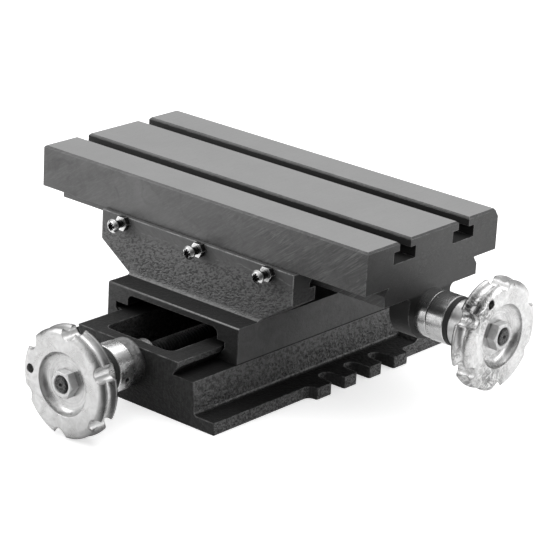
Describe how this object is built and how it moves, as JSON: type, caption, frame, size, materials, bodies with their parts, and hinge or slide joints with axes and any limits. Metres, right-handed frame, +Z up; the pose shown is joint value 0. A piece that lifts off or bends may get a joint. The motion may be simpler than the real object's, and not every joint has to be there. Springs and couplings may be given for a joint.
{
  "type": "compound cross slide table",
  "caption": "Compound cross slide table with two dovetail slides, leadscrews, dials and handwheels, and a T-slotted top for clamping work.",
  "frame": {"origin": "centre of the base's foot, on its underside", "axes": "+Z up, +X along the table towards its handwheel, -Y towards the lower handwheel"},
  "size_m": [0.3749, 0.3515, 0.1452],
  "materials": {
    "base_casting": "dark grey cast iron, painted flanks and milled slides",
    "saddle_casting": "grey cast iron, rough cast skin below and milled faces above",
    "table_casting": "ground cast iron, satin top and milled sides",
    "cast_aluminium": "polished cast aluminium with small pits",
    "dial_steel": "turned steel with engraved divisions",
    "turned_steel": "turned bright steel",
    "ground_steel": "ground steel strip",
    "plated_steel": "bright plated fasteners",
    "black_steel": "black oxide steel",
    "bronze": "machined bronze",
    "black_rubber": "matte black rubber"
  },
  "bodies": {
    "base": {"base": "base_casting", "y_bearing_bush": "bronze"},
    "saddle": {"saddle": "saddle_casting", "x_gib": "ground_steel", "y_gib": "ground_steel", "x_gib_screws": "plated_steel", "y_gib_screws": "plated_steel", "x_gib_lock_nuts": "plated_steel", "y_gib_lock_nuts": "plated_steel", "x_feed_nut": "bronze", "y_feed_nut": "bronze", "x_feed_nut_screws": "black_steel", "y_feed_nut_screws": "black_steel"},
    "table": {"table": "table_casting", "x_bearing_sleeve": "turned_steel"},
    "x_screw": {"x_leadscrew": "turned_steel", "x_thrust_collar": "turned_steel", "x_collar_pin": "turned_steel", "x_handwheel": "cast_aluminium", "x_wheel_key": "turned_steel", "x_friction_ring": "black_rubber", "x_wheel_nut": "plated_steel"},
    "x_dial": {"x_dial": "dial_steel", "x_dial_lock_screw": "black_steel"},
    "y_screw": {"y_leadscrew": "turned_steel", "y_thrust_collar": "turned_steel", "y_collar_pin": "turned_steel", "y_handwheel": "cast_aluminium", "y_wheel_key": "turned_steel", "y_friction_ring": "black_rubber", "y_wheel_nut": "plated_steel"},
    "y_dial": {"y_dial": "dial_steel", "y_dial_lock_screw": "black_steel"}
  },
  "joints": [
    {"name": "y_screw_turn", "type": "hinge", "parent": "base", "child": "y_screw", "pos_m": [0, -0.1433, 0.0296], "axis": [0, 1, 0], "range_deg": [-5401, 5401]},
    {"name": "y_slide", "type": "slide", "parent": "base", "child": "saddle", "axis": [0, 1, 0], "range_m": [-0.045, 0.045]},
    {"name": "x_slide", "type": "slide", "parent": "saddle", "child": "table", "axis": [1, 0, 0], "range_m": [-0.0715, 0.1185]},
    {"name": "x_screw_turn", "type": "hinge", "parent": "table", "child": "x_screw", "pos_m": [0.1518, 0, 0.0747], "axis": [1, 0, 0], "range_deg": [-8581, 14221]},
    {"name": "x_dial_turn", "type": "hinge", "parent": "x_screw", "child": "x_dial", "pos_m": [0.16915, 0, 0.0747], "axis": [1, 0, 0], "continuous": true},
    {"name": "y_dial_turn", "type": "hinge", "parent": "y_screw", "child": "y_dial", "pos_m": [0, -0.16065, 0.0296], "axis": [0, 1, 0], "continuous": true}
  ],
  "couplings": [
    {"joint": "x_screw_turn", "follows": "x_slide", "rad_per_m": 2094.4},
    {"joint": "y_screw_turn", "follows": "y_slide", "rad_per_m": -2094.4}
  ]
}
